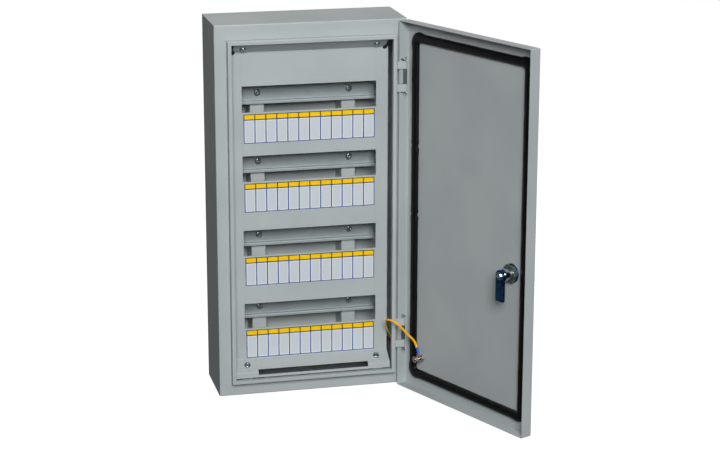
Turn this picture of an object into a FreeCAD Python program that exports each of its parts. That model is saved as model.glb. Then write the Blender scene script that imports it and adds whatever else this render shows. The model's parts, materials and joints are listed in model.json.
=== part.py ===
"""Four-row surface-mounted distribution box with a hinged steel door, built as separate pieces.

Frame: millimetres. X runs to the right and Z runs up, both from the middle of the back.
Y = 0 is the back face that lies on the wall, and the front of the box faces -Y.
The door parts are drawn shut and then turned open by DOOR_REST about the hinge line.
"""
import math
import os

import FreeCAD
import Part

Vector = FreeCAD.Vector

# ---------------------------------------------------------------- driving sizes
# Cabinet shell
WIDTH = 315.0
HEIGHT = 620.0
DEPTH = 115.0
SHEET = 1.2                # steel sheet of the shell, cover and door
EDGE_RADIUS = 2.0          # outside radius of the folded edges
BEND_DEPTH = 3.0           # depth of the front frame's folded edge

# Raised rim round the front opening, against which the gasket closes
RIM_SIDE = 19.5            # shell side to rim
RIM_TOP = 24.5
RIM_BOTTOM = 23.0
RIM_FACE = 6.0             # width of the rim's front face
RIM_HEIGHT = 14.0          # how far the rim stands in front of the shell
RIM_RETURN = 8.0           # depth of the rim's inner fold
RIM_RADIUS = 1.2

# Wall fixing holes
WALL_HOLE_RADIUS = 3.5
WALL_HOLE_SPAN_X = 250.0
WALL_HOLE_SPAN_Z = 540.0

# Rows of modules
MODULE_PITCH = 18.0
MODULES = 12
ROW_PITCH = 125.0
TOP_ROW_PITCH = 115.0
LOWEST_ROW = 130.0         # row centre above the bottom of the box
WINDOW_HEIGHT = 43.0
WINDOW_MARGIN = 3.0        # window width beyond the modules, each side
WINDOW_RADIUS = 1.5

# Inner cover
COVER_RECESS = 18.0        # cover face behind the shell's front
COVER_CLEARANCE = 1.5      # cover to rim, each side
COVER_SLOPE_BOTTOM = 24.0  # forward reach of the lower sloping fold
COVER_SLOPE_TOP = 22.0
COVER_RISE = 16.0          # height of each sloping fold
COVER_LIP = 9.0            # upright lip below the lower slope
COVER_BEND = 1.0
COVER_SCREW_INSET = 21.0   # cover screw from the cover's side edge
COVER_SCREW_SHARE = 0.45   # how far down its sloping fold each cover screw sits
COVER_SCREW_LENGTH = 11.0
KEYHOLE_LENGTH = 11.0
BRACKET_WIDTH = 16.0
BRACKET_REACH = 12.0       # bracket beyond its screw, towards the shell
BRACKET_TAIL = 7.0         # bracket beyond its screw, away from the shell
BRACKET_FOOT = 9.0         # bracket foot beyond the rim, on the front sheet
BRACKET_BEND = 0.6
CABLE_SLOT_LENGTH = 186.0
CABLE_SLOT_HEIGHT = 8.0
CABLE_SLOT_DROP = 0.8      # slot middle below the fold line
RELIEF_RADIUS = 4.0        # rounded notch at the ends of the upper fold
UPPER_FOLD_INSET = 5.0

# Label strips
LABEL_HEIGHT = 48.0
LABEL_THICKNESS = 0.3
LABEL_GAP = 3.0            # window to label
LABEL_EXTRA = 1.0          # label beyond the modules, in all

# Rails, supports and bars
RAIL_HEIGHT = 35.0
RAIL_DEPTH = 7.5
RAIL_SHEET = 1.0
RAIL_LIP = 5.0
RAIL_LENGTH = 240.0
DEVICE_DEPTH = 44.0        # rail front to cover face, as modular devices need
SUPPORT_SPAN = 153.0
SUPPORT_WIDTH = 24.0
SUPPORT_SHEET = 1.5
SUPPORT_LENGTH = 560.0
BAR_LENGTH = 112.0
BAR_WIDTH = 6.5
BAR_HEIGHT = 9.0
BAR_WAYS = 9
BAR_PITCH = 10.0
BAR_HOLE_RADIUS = 2.4
BAR_STAND_OFF = 22.0
BAR_FROM_ROW = 66.0        # bar from the middle of the nearest rail
BAR_SCREW_PROUD = 4.0      # clamping screw in front of its bar
BAR_SCREW_HEAD = 2.4
BAR_SCREW_SLOT = 0.8
FOOT_WIDTH = 12.0
FOOT_HEIGHT = 20.0
FOOT_FROM_END = 3.5        # middle of a foot from the bar's end
FOOT_GROOVE = 1.0          # foot lip beyond the bar

# Fasteners
SCREW_RADIUS = 1.9
SCREW_HEAD_RADIUS = 5.4
SCREW_HEAD_HEIGHT = 3.0
FIT = 0.05                 # radial clearance of parts that turn or slide in each other
HOLE_CLEARANCE = 0.3       # radial clearance of screw holes
RAIL_SCREW_GRIP = 6.0      # rail screw beyond the support's web

# Cable entries
ENTRY_COUNT = 3
ENTRY_PITCH = 80.0
ENTRY_RADIUS = 14.0
GROMMET_LIP = 3.0
GROMMET_LIP_HEIGHT = 2.5
GROMMET_DOME = 6.0
GROMMET_HOLLOW = 4.0       # depth of the hollow inside the dome

# Door
DOOR_DEPTH = 20.0
DOOR_GAP = 2.0             # door edge to shell front
DOOR_SIDE_REVEAL = 0.5
DOOR_END_REVEAL = 1.0
DOOR_REST = 114.0          # degrees open in the stored pose
GASKET_WIDTH = 13.0
GASKET_CLEARANCE = 0.3     # gasket face to rim with the door shut
GASKET_RADIUS = 2.4
GASKET_CORNER = 14.0

# Hinges
HINGE_INSET = 92.5         # hinge middle from each end of the box
HINGE_FROM_SIDE = 5.0      # hinge line from the door's side face
HINGE_FROM_EDGE = 9.0      # hinge line from the door's free flange edge
STRAP_HEIGHT = 12.5
STRAP_SHEET = 1.4
STRAP_BEND = 0.8
KNUCKLE_RADIUS = 3.0
LEAF_HEIGHT = 24.2
LEAF_GAP = 0.4             # leaf to strap, each end
PIN_RADIUS = 1.5
PIN_EYE_RADIUS = 2.3
PIN_WIRE_RADIUS = 0.85
PIN_PROUD = 0.6            # pin beyond the straps, each end
PIN_LONG_LEG = 8.5
PIN_SHORT_LEG = 6.5
LEAF_MARGIN = 0.8          # leaf plate short of the flange's free edge

# Quarter-turn lock
LOCK_FROM_EDGE = 52.0      # lock axis from the door's free edge
LOCK_Z = -54.0             # lock axis from the middle of the box
LOCK_BODY_RADIUS = 9.5
LOCK_FLANGE_RADIUS = 14.0
LOCK_FLANGE_HEIGHT = 3.0
LOCK_BODY_LENGTH = 20.0
LOCK_CORE_RADIUS = 6.0
NUT_FLATS = 27.0
NUT_HEIGHT = 6.0
LOCK_WASHER_HEIGHT = 1.4
LOCK_WASHER_RADIUS = 15.5
CAM_LENGTH = 42.0          # axis to tip
CAM_WIDTH = 19.0
CAM_SHEET = 3.0
CAM_BEHIND_SHELL = 0.6     # cam face behind the front sheet, so it can slide behind it
SQUARE_SIDE = 8.0
CAM_SCREW_HEAD = 4.2
CAM_SCREW_RADIUS = 2.5
CAM_SCREW_LENGTH = 9.0
CAM_SCREW_FLATS = 8.0
CAM_SCREW_DISC_RADIUS = 6.5
CAM_SCREW_DISC_HEIGHT = 1.0
CAM_CORNER = 3.0
CAM_EDGE = 0.5
KEY_SLOT_WIDTH = 2.0
KEY_SLOT_HEIGHT = 8.0
CORE_SUNK = 0.6            # core's front face behind the lock's flange

# Earth bond between shell and door
STUD_RADIUS = 3.0
STUD_LENGTH = 20.0
STUD_FOOT_RADIUS = 4.0
STUD_FOOT_HEIGHT = 1.2
STUD_FOOT_GAP = 0.6        # foot to the lower nut
STUD_CHAMFER = 0.6
STUD_NUT_FROM_TIP = 0.7    # upper nut, as delivered, behind the stud's tip
DOOR_STUD_FROM_SIDE = 47.0
DOOR_STUD_HEIGHT = 57.0    # above the bottom of the box
SHELL_STUD_Y = 52.0        # stud axis behind the shell's front
SHELL_STUD_HEIGHT = 60.0
STUD_NUT_FLATS = 10.0
STUD_NUT_HEIGHT = 4.5
STUD_WASHER_RADIUS = 6.2
STUD_WASHER_HEIGHT = 1.0
LUG_SHEET = 1.0
LUG_RADIUS = 5.4
LUG_NECK = 9.0             # stud axis to the sleeve
SLEEVE_RADIUS = 2.6
SLEEVE_LENGTH = 10.0
WIRE_DIAMETER = 3.8
DOOR_NECK = (0.44, 0.0, 0.90)      # way the lug points on the shut door
SHELL_NECK = (0.0, -0.95, 0.31)
NECK_RUN = 11.0            # straight start of the wire at each lug
# Points of the earth wire between its two straight ends, from the hinge line at the door stud's height
WIRE_ROUTE = [
    (-12.5, 24.0, 20.0),
    (-22.5, 13.0, 36.0),
    (-29.5, 3.0, 53.5),
    (-31.0, -8.0, 62.5),
    (-27.0, -19.0, 64.5),
    (-18.0, -25.5, 60.5),
    (-8.5, -27.5, 50.5),
    (0.5, -27.0, 39.5),
]

# ---------------------------------------------------------------- sizes that follow
FRONT = -DEPTH
RIM_FRONT = FRONT - RIM_HEIGHT
RIM_HALF = WIDTH / 2 - RIM_SIDE
RIM_LOW = -HEIGHT / 2 + RIM_BOTTOM
RIM_HIGH = HEIGHT / 2 - RIM_TOP
COVER_FACE = FRONT + COVER_RECESS
COVER_HALF = RIM_HALF - RIM_FACE - COVER_CLEARANCE
COVER_LOW = RIM_LOW + RIM_FACE + COVER_CLEARANCE
COVER_HIGH = RIM_HIGH - RIM_FACE - COVER_CLEARANCE
LOWER_FOLD = COVER_LOW + COVER_LIP + COVER_RISE
UPPER_FOLD = COVER_HIGH - COVER_RISE
RAIL_FRONT = COVER_FACE + DEVICE_DEPTH
RAIL_BACK = RAIL_FRONT + RAIL_DEPTH
ROWS = [-HEIGHT / 2 + LOWEST_ROW + ROW_PITCH * step for step in range(3)]
ROWS.append(ROWS[-1] + TOP_ROW_PITCH)
ROWS.reverse()             # row 1 is the top row
BARS = {"neutral": ROWS[0] + BAR_FROM_ROW, "earth": ROWS[-1] - BAR_FROM_ROW}
WINDOW_HALF = MODULE_PITCH * MODULES / 2 + WINDOW_MARGIN
LABEL_HALF = (MODULE_PITCH * MODULES + LABEL_EXTRA) / 2
DOOR_FRONT = FRONT - DOOR_GAP - DOOR_DEPTH
DOOR_INSIDE = DOOR_FRONT + SHEET
DOOR_HALF = WIDTH / 2 - DOOR_SIDE_REVEAL
DOOR_HALF_HEIGHT = HEIGHT / 2 - DOOR_END_REVEAL
HINGE_X = DOOR_HALF - HINGE_FROM_SIDE
HINGE_Y = FRONT - DOOR_GAP - HINGE_FROM_EDGE
STRAP_GAP = LEAF_HEIGHT + 2 * LEAF_GAP
HINGE_HEIGHTS = {"upper": HEIGHT / 2 - HINGE_INSET, "lower": -HEIGHT / 2 + HINGE_INSET}
GASKET_HEIGHT = RIM_FRONT - GASKET_CLEARANCE - DOOR_INSIDE
LOCK_X = -DOOR_HALF + LOCK_FROM_EDGE
CAM_FACE = FRONT + SHEET + CAM_BEHIND_SHELL
DOOR_STUD_X = DOOR_HALF - DOOR_STUD_FROM_SIDE
DOOR_STUD_Z = -HEIGHT / 2 + DOOR_STUD_HEIGHT
SHELL_STUD_X = WIDTH / 2 - SHEET
SHELL_STUD_Z = -HEIGHT / 2 + SHELL_STUD_HEIGHT
SHELL_STUD_DEPTH = FRONT + SHELL_STUD_Y


# ---------------------------------------------------------------- shape helpers
def box(low, high):
    """Box between two corners."""
    size = [top - bottom for bottom, top in zip(low, high)]
    return Part.makeBox(size[0], size[1], size[2], Vector(*low))


def rod(start, direction, radius, length):
    """Cylinder from a start point along a direction."""
    return Part.makeCylinder(radius, length, Vector(*start), Vector(*direction))


def fuse(shapes):
    """One solid from shapes that touch or overlap."""
    return shapes[0].multiFuse(shapes[1:]).removeSplitter()


def round_edges(shape, radius, wanted):
    """Fillet the edges whose middle point passes the test."""
    edges = [edge for edge in shape.Edges if wanted(edge.CenterOfMass, edge)]
    return shape.makeFillet(radius, edges)


def lies_along(edge, axis):
    """True for a straight edge along X (0), Y (1) or Z (2)."""
    first = edge.Vertexes[0].Point
    last = edge.Vertexes[-1].Point
    span = [abs(last[k] - first[k]) for k in range(3)]
    return len(edge.Vertexes) == 2 and span[axis] > 0.99 * sum(span) > 0


def is_ring(edge):
    """True for an edge that is a whole circle."""
    return len(edge.Vertexes) == 1


def folded_box(low, high, radius):
    """Box whose front (-Y) edges and the edges along Y are rounded."""
    front = low[1]
    solid = box(low, high)
    return round_edges(solid, radius, lambda mid, edge: lies_along(edge, 1) or abs(mid.y - front) < 1e-6)


def prism(points, direction):
    """Closed polygon of 3-D points pushed along a direction."""
    corners = [Vector(*point) for point in points]
    corners.append(corners[0])
    return Part.Face(Part.makePolygon(corners)).extrude(Vector(*direction))


def sheet_outline(points, thickness, inner_radius):
    """Edges of a bent sheet in the plane; its thickness lies to the left of the path."""
    count = len(points)
    runs = []
    for first, last in zip(points, points[1:]):
        length = math.hypot(last[0] - first[0], last[1] - first[1])
        runs.append(((last[0] - first[0]) / length, (last[1] - first[1]) / length))

    def side(offset):
        pieces = []
        for index in range(count):
            if index in (0, count - 1):
                run = runs[0] if index == 0 else runs[-1]
                place = (points[index][0] - run[1] * offset, points[index][1] + run[0] * offset)
                pieces.append((place, None, place))
                continue
            before, after = runs[index - 1], runs[index]
            cross = before[0] * after[1] - before[1] * after[0]
            turn = math.atan2(cross, before[0] * after[0] + before[1] * after[1])
            lift = offset * math.tan(turn / 2)
            corner = (
                points[index][0] - before[1] * offset - before[0] * lift,
                points[index][1] + before[0] * offset - before[1] * lift,
            )
            radius = inner_radius + (thickness - offset if turn > 0 else offset)
            reach = radius * math.tan(abs(turn) / 2)
            start = (corner[0] - before[0] * reach, corner[1] - before[1] * reach)
            end = (corner[0] + after[0] * reach, corner[1] + after[1] * reach)
            spin = 1 if turn > 0 else -1
            centre = (start[0] - before[1] * radius * spin, start[1] + before[0] * radius * spin)
            away = math.hypot(corner[0] - centre[0], corner[1] - centre[1])
            middle = (
                centre[0] + (corner[0] - centre[0]) * radius / away,
                centre[1] + (corner[1] - centre[1]) * radius / away,
            )
            pieces.append((start, middle, end))
        return pieces

    near = side(0.0)
    far = [(end, middle, start) for start, middle, end in reversed(side(thickness))]
    return near + far


def bent_sheet(points, thickness, inner_radius, place, push):
    """Solid of a bent sheet: place() puts a plane point in space and push is its length."""
    outline = sheet_outline(points, thickness, inner_radius)
    edges = []
    for index, (start, middle, end) in enumerate(outline):
        if middle is not None:
            edges.append(Part.Arc(place(*start), place(*middle), place(*end)).toShape())
        following = outline[(index + 1) % len(outline)][0]
        edges.append(Part.LineSegment(place(*end), place(*following)).toShape())
    return Part.Face(Part.Wire(edges)).extrude(Vector(*push))


def aimed(shape, start, direction):
    """Move a shape drawn at the origin along +Z so that it starts at a point and aims along a direction."""
    turned = shape.copy()
    turn = FreeCAD.Rotation(Vector(0, 0, 1), Vector(*direction))
    turned.Placement = FreeCAD.Placement(Vector(*start), turn)
    return turned


def pan_screw(start, direction, length):
    """Cross-recess pan-head screw; its head's underside is at the start point."""
    head = Part.makeCylinder(SCREW_HEAD_RADIUS, SCREW_HEAD_HEIGHT, Vector(0, 0, -SCREW_HEAD_HEIGHT))
    head = round_edges(
        head, SCREW_HEAD_HEIGHT * 0.6, lambda mid, edge: is_ring(edge) and mid.z < -SCREW_HEAD_HEIGHT / 2
    )
    shank = Part.makeCylinder(SCREW_RADIUS, length)
    arm = SCREW_HEAD_RADIUS * 0.55
    half = SCREW_HEAD_RADIUS * 0.12
    deep = SCREW_HEAD_HEIGHT * 0.6
    cross = [
        box((-arm, -half, -SCREW_HEAD_HEIGHT - 1), (arm, half, -SCREW_HEAD_HEIGHT + deep)),
        box((-half, -arm, -SCREW_HEAD_HEIGHT - 1), (half, arm, -SCREW_HEAD_HEIGHT + deep)),
    ]
    return aimed(fuse([head, shank]).cut(cross[0].fuse(cross[1])), start, direction)


def hex_nut(start, direction, flats, height, hole_radius):
    """Hexagon nut with chamfered corners, standing on the start point."""
    corner_radius = flats / math.sqrt(3)
    angles = [math.radians(60 * k) for k in range(7)]
    corners = [Vector(corner_radius * math.cos(a), corner_radius * math.sin(a), 0) for a in angles]
    body = Part.Face(Part.makePolygon(corners)).extrude(Vector(0, 0, height))
    chamfer = (corner_radius - flats / 2) * 0.6
    waist = Part.makeCylinder(corner_radius, height)
    waist = waist.makeChamfer(chamfer, [edge for edge in waist.Edges if is_ring(edge)])
    nut = body.common(waist).cut(Part.makeCylinder(hole_radius, height))
    return aimed(nut, start, direction)


def washer(start, direction, radius, hole_radius, height):
    """Flat ring."""
    ring = Part.makeCylinder(radius, height).cut(Part.makeCylinder(hole_radius, height))
    return aimed(ring, start, direction)


def along(start, direction, distance):
    """Point at a distance along a direction."""
    return tuple(start[k] + direction[k] * distance for k in range(3))


def unit(direction):
    """Direction scaled to length one."""
    size = math.sqrt(sum(part * part for part in direction))
    return tuple(part / size for part in direction)


def group(shapes):
    """Several separate solids in one node."""
    return Part.makeCompound(shapes)


# ---------------------------------------------------------------- shell
def rim_box(inset, back, front):
    """Box of the rim's outline, drawn in by an inset."""
    return box((-RIM_HALF + inset, front, RIM_LOW + inset), (RIM_HALF - inset, back, RIM_HIGH - inset))


def make_back_and_sides():
    """Back and both sides folded from one sheet, with the four wall holes."""
    path = [
        (-WIDTH / 2, FRONT + BEND_DEPTH),
        (-WIDTH / 2, 0.0),
        (WIDTH / 2, 0.0),
        (WIDTH / 2, FRONT + BEND_DEPTH),
    ]
    path.reverse()
    shell = bent_sheet(
        path, SHEET, EDGE_RADIUS - SHEET, lambda u, v: Vector(u, v, -HEIGHT / 2), (0, 0, HEIGHT)
    )
    for side in (-1, 1):
        for end in (-1, 1):
            place = (side * WALL_HOLE_SPAN_X / 2, 1, end * WALL_HOLE_SPAN_Z / 2)
            shell = shell.cut(rod(place, (0, -1, 0), WALL_HOLE_RADIUS, SHEET + 2))
    return shell


def make_end_panel(outside, inside):
    """Plate between the sides, at the top or the bottom; its rear corners follow the bends."""
    low, high = sorted((outside, inside))
    half = WIDTH / 2 - SHEET
    panel = box((-half, FRONT + BEND_DEPTH, low), (half, -SHEET, high))
    return round_edges(
        panel, EDGE_RADIUS - SHEET + FIT, lambda mid, edge: lies_along(edge, 2) and mid.y > -2 * SHEET
    )


def entry_places():
    """Middle of each cable entry in the bottom panel."""
    middle = (FRONT - SHEET) / 2
    first = -ENTRY_PITCH * (ENTRY_COUNT - 1) / 2
    return [(first + ENTRY_PITCH * step, middle) for step in range(ENTRY_COUNT)]


def make_bottom_panel():
    """Bottom plate with the round cable entries."""
    panel = make_end_panel(-HEIGHT / 2, -HEIGHT / 2 + SHEET)
    for x, y in entry_places():
        panel = panel.cut(rod((x, y, -HEIGHT / 2 - 1), (0, 0, 1), ENTRY_RADIUS, SHEET + 2))
    return panel


def make_grommets():
    """Rubber grommets with closed domes, pushed into the entries."""
    pieces = []
    neck = ENTRY_RADIUS - FIT
    for x, y in entry_places():
        below = rod((x, y, -HEIGHT / 2), (0, 0, -1), ENTRY_RADIUS + GROMMET_LIP, GROMMET_LIP_HEIGHT)
        middle = rod((x, y, -HEIGHT / 2), (0, 0, 1), neck, SHEET)
        above = Part.makeCone(
            ENTRY_RADIUS + GROMMET_LIP / 2, neck * 0.55, GROMMET_DOME, Vector(x, y, -HEIGHT / 2 + SHEET)
        )
        mouth = (x, y, -HEIGHT / 2 - GROMMET_LIP_HEIGHT)
        hollow = rod(mouth, (0, 0, 1), neck * 0.5, GROMMET_LIP_HEIGHT + SHEET + GROMMET_HOLLOW)
        pieces.append(fuse([below, middle, above]).cut(hollow))
    return group(pieces)


def make_front_frame():
    """Front sheet with folded edges and the raised rim round its opening."""
    back = FRONT + BEND_DEPTH
    skin = folded_box((-WIDTH / 2, FRONT, -HEIGHT / 2), (WIDTH / 2, back, HEIGHT / 2), EDGE_RADIUS)
    half_width = WIDTH / 2 - SHEET
    half_height = HEIGHT / 2 - SHEET
    inside = box((-half_width, FRONT + SHEET, -half_height), (half_width, back, half_height))
    skin = skin.cut(inside).cut(rim_box(0.0, back, FRONT - 1))
    root = FRONT + SHEET
    rim = folded_box((-RIM_HALF, RIM_FRONT, RIM_LOW), (RIM_HALF, root, RIM_HIGH), RIM_RADIUS)
    channel = rim_box(SHEET, root, RIM_FRONT + SHEET)
    fold = rim_box(RIM_FACE - SHEET, RIM_FRONT + RIM_RETURN, RIM_FRONT)
    rim = rim.cut(channel.cut(fold)).cut(rim_box(RIM_FACE, root, RIM_FRONT - 1))
    return skin.fuse(rim).removeSplitter()


# ---------------------------------------------------------------- rails and supports
def make_support(side):
    """Upright channel welded to the back, which carries the rails."""
    middle = side * SUPPORT_SPAN / 2
    left, right = middle - SUPPORT_WIDTH / 2, middle + SUPPORT_WIDTH / 2
    path = [(right, -SHEET), (right, RAIL_BACK), (left, RAIL_BACK), (left, -SHEET)]
    path.reverse()
    channel = bent_sheet(
        path,
        SUPPORT_SHEET,
        SUPPORT_SHEET * 0.5,
        lambda u, v: Vector(u, v, -SUPPORT_LENGTH / 2),
        (0, 0, SUPPORT_LENGTH),
    )
    for row in ROWS:
        hole = rod((middle, RAIL_BACK - 1, row), (0, 1, 0), SCREW_RADIUS + FIT, SUPPORT_SHEET + 2)
        channel = channel.cut(hole)
    return channel


def make_rail(row):
    """35 mm top-hat rail."""
    half = RAIL_HEIGHT / 2
    web = half - RAIL_LIP
    path = [
        (RAIL_FRONT, -half),
        (RAIL_FRONT, -web),
        (RAIL_BACK - RAIL_SHEET, -web),
        (RAIL_BACK - RAIL_SHEET, web),
        (RAIL_FRONT, web),
        (RAIL_FRONT, half),
    ]
    path.reverse()
    rail = bent_sheet(
        path,
        RAIL_SHEET,
        RAIL_SHEET * 0.6,
        lambda u, v: Vector(-RAIL_LENGTH / 2, u, row + v),
        (RAIL_LENGTH, 0, 0),
    )
    for side in (-1, 1):
        place = (side * SUPPORT_SPAN / 2, RAIL_BACK - RAIL_SHEET - 1, row)
        rail = rail.cut(rod(place, (0, 1, 0), SCREW_RADIUS + HOLE_CLEARANCE, RAIL_SHEET + 2))
    return rail


def make_rail_screws():
    """Two pan-head screws on each rail."""
    length = RAIL_SHEET + SUPPORT_SHEET + RAIL_SCREW_GRIP
    places = [(side * SUPPORT_SPAN / 2, RAIL_BACK - RAIL_SHEET, row) for row in ROWS for side in (-1, 1)]
    return group([pan_screw(place, (0, 1, 0), length) for place in places])


# ---------------------------------------------------------------- terminal bars
def bar_ways():
    """Middle of each screw way along a bar."""
    first = -BAR_PITCH * (BAR_WAYS - 1) / 2
    return [first + BAR_PITCH * step for step in range(BAR_WAYS)]


def bar_box(height):
    """Low and high corners of a terminal bar."""
    low = (-BAR_LENGTH / 2, -BAR_STAND_OFF - BAR_WIDTH, height - BAR_HEIGHT / 2)
    high = (BAR_LENGTH / 2, -BAR_STAND_OFF, height + BAR_HEIGHT / 2)
    return low, high


def make_bar(height):
    """Brass bar with a cable hole and a screw hole in each way."""
    low, high = bar_box(height)
    bar = box(low, high)
    for x in bar_ways():
        foot = (x, (low[1] + high[1]) / 2, low[2] - 1)
        bar = bar.cut(rod(foot, (0, 0, 1), BAR_HOLE_RADIUS, BAR_HEIGHT + 2))
        bar = bar.cut(rod((x, low[1] - 1, height), (0, 1, 0), SCREW_RADIUS + FIT, BAR_WIDTH / 2 + 1))
    return bar


def make_bar_screws(height):
    """Clamping screws of a bar."""
    low = bar_box(height)[0]
    front = low[1] - BAR_SCREW_PROUD
    screws = []
    for x in bar_ways():
        shank = rod((x, front, height), (0, 1, 0), SCREW_RADIUS, BAR_SCREW_PROUD + BAR_WIDTH * 0.25)
        head = rod((x, front, height), (0, 1, 0), SCREW_RADIUS * 1.35, BAR_SCREW_HEAD)
        half = BAR_SCREW_SLOT / 2
        slot = box((x - 4, front - 1, height - half), (x + 4, front + 1, height + half))
        screws.append(fuse([head, shank]).cut(slot))
    return group(screws)


def make_bar_feet(height):
    """Two insulating feet that hold a bar off the back."""
    low, high = bar_box(height)
    seat = box(
        (low[0] - FOOT_GROOVE, low[1] - FOOT_GROOVE, low[2]), (high[0] + FOOT_GROOVE, high[1], high[2])
    )
    feet = []
    for x in (low[0] + FOOT_FROM_END, high[0] - FOOT_FROM_END):
        foot = box(
            (x - FOOT_WIDTH / 2, -BAR_STAND_OFF - BAR_WIDTH / 2, height - FOOT_HEIGHT / 2),
            (x + FOOT_WIDTH / 2, -SHEET, height + FOOT_HEIGHT / 2),
        )
        feet.append(foot.cut(seat))
    return group(feet)


# ---------------------------------------------------------------- inner cover
def cover_screw_places():
    """Point and inward direction of each cover screw, on the sloping folds."""
    folds = [
        (COVER_SLOPE_TOP, UPPER_FOLD, 1),
        (COVER_SLOPE_BOTTOM, LOWER_FOLD, -1),
    ]
    places = []
    for side in (-1, 1):
        for slope, fold, upward in folds:
            length = math.hypot(slope, COVER_RISE)
            place = (
                side * (COVER_HALF - COVER_SCREW_INSET),
                COVER_FACE - slope * COVER_SCREW_SHARE,
                fold + upward * COVER_RISE * COVER_SCREW_SHARE,
            )
            places.append((place, (0, COVER_RISE / length, upward * slope / length)))
    return places


def make_inner_cover():
    """Cover with a window for each row, folded forward at its top and bottom."""
    path = [
        (COVER_FACE - COVER_SLOPE_BOTTOM, COVER_LOW),
        (COVER_FACE - COVER_SLOPE_BOTTOM, COVER_LOW + COVER_LIP),
        (COVER_FACE, LOWER_FOLD),
        (COVER_FACE, UPPER_FOLD),
        (COVER_FACE - COVER_SLOPE_TOP, COVER_HIGH),
    ]
    path.reverse()
    cover = bent_sheet(
        path, SHEET, COVER_BEND, lambda u, v: Vector(-COVER_HALF, u, v), (2 * COVER_HALF, 0, 0)
    )
    for row in ROWS:
        window = box(
            (-WINDOW_HALF, COVER_FACE - 2, row - WINDOW_HEIGHT / 2),
            (WINDOW_HALF, COVER_FACE + SHEET + 2, row + WINDOW_HEIGHT / 2),
        )
        cover = cover.cut(round_edges(window, WINDOW_RADIUS, lambda mid, edge: lies_along(edge, 1)))
    slot_middle = COVER_LOW + COVER_LIP - CABLE_SLOT_DROP
    half = CABLE_SLOT_LENGTH / 2
    low = (-half, COVER_FACE - COVER_SLOPE_BOTTOM - 3, slot_middle - CABLE_SLOT_HEIGHT / 2)
    cover = cover.cut(box(low, (half, COVER_FACE - 8, slot_middle + CABLE_SLOT_HEIGHT / 2)))
    for side in (-1, 1):
        inset = side * (COVER_HALF - UPPER_FOLD_INSET)
        ends = sorted((side * COVER_HALF, inset))
        front = COVER_FACE - COVER_SLOPE_TOP - 2
        strip = box((ends[0], front, UPPER_FOLD), (ends[1], COVER_FACE + 5, COVER_HIGH + 2))
        bite = rod((inset, COVER_FACE - 10, UPPER_FOLD), (0, 1, 0), RELIEF_RADIUS, 20)
        cover = cover.cut(strip).cut(bite)
    for place, inward in cover_screw_places():
        start = along(place, inward, -3)
        cover = cover.cut(rod(start, inward, SCREW_RADIUS + HOLE_CLEARANCE, 8))
        if place[0] < 0 and place[2] > 0:
            cover = cover.cut(keyhole(place, inward))
    return in_bands(cover)


def in_bands(cover):
    """The folded sheet as touching solids, each nearly convex, so that its windows and slot stay open."""
    bands = [
        (COVER_LOW, LOWER_FOLD, CABLE_SLOT_LENGTH / 2),
        (LOWER_FOLD, UPPER_FOLD, WINDOW_HALF),
        (UPPER_FOLD, COVER_HIGH, COVER_HALF),
    ]
    solids = []
    for low, high, half in bands:
        for left, right in ((-COVER_HALF, -half), (-half, half), (half, COVER_HALF)):
            if right > left:
                solids.extend(cover.common(box((left, RIM_FRONT, low), (right, 0.0, high))).Solids)
    return group(solids)


def keyhole(place, inward):
    """Sideways slot that lets the upper left corner hook on its screw."""
    half = SCREW_RADIUS + HOLE_CLEARANCE
    slot = aimed(box((-KEYHOLE_LENGTH, -half, -3), (0, half, 5)), place, inward)
    if slot.BoundBox.XMax > place[0] + half:
        slot = slot.mirror(Vector(*place), Vector(1, 0, 0))
    return slot


def make_cover_screws():
    """The four pan-head screws that hold the cover."""
    return group([pan_screw(place, inward, COVER_SCREW_LENGTH) for place, inward in cover_screw_places()])


def make_cover_brackets():
    """Four bent tabs from the front frame to the back of the sloping folds."""
    tabs = []
    wall = FRONT + SHEET
    for place, inward in cover_screw_places():
        upward = 1 if place[2] > 0 else -1
        outward = (0, -inward[2] * upward, inward[1] * upward)
        back = along(place, inward, SHEET)
        inner = along(back, outward, -BRACKET_TAIL)
        outer = along(back, outward, BRACKET_REACH)
        share = (wall - inner[1]) / (outer[1] - inner[1])
        bend = (wall, inner[2] + (outer[2] - inner[2]) * share)
        foot = RIM_HIGH + BRACKET_FOOT if upward > 0 else RIM_LOW - BRACKET_FOOT
        path = [inner[1:], bend, (wall, foot)]
        if upward > 0:
            path.reverse()
        left = place[0] - BRACKET_WIDTH / 2
        tab = bent_sheet(
            path, SUPPORT_SHEET, BRACKET_BEND, lambda u, v: Vector(left, u, v), (BRACKET_WIDTH, 0, 0)
        )
        tabs.append(tab.cut(rod(along(place, inward, -3), inward, SCREW_RADIUS + FIT, 12)))
    return group(tabs)


def make_label(row):
    """Paper strip with one field for each module."""
    top = row - WINDOW_HEIGHT / 2 - LABEL_GAP
    low = (-LABEL_HALF, COVER_FACE - LABEL_THICKNESS, top - LABEL_HEIGHT)
    return box(low, (LABEL_HALF, COVER_FACE, top))


# ---------------------------------------------------------------- hinges
def strap_bands(middle):
    """Low end of each of a hinge's two cabinet straps."""
    return [middle + STRAP_GAP / 2, middle - STRAP_GAP / 2 - STRAP_HEIGHT]


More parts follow.
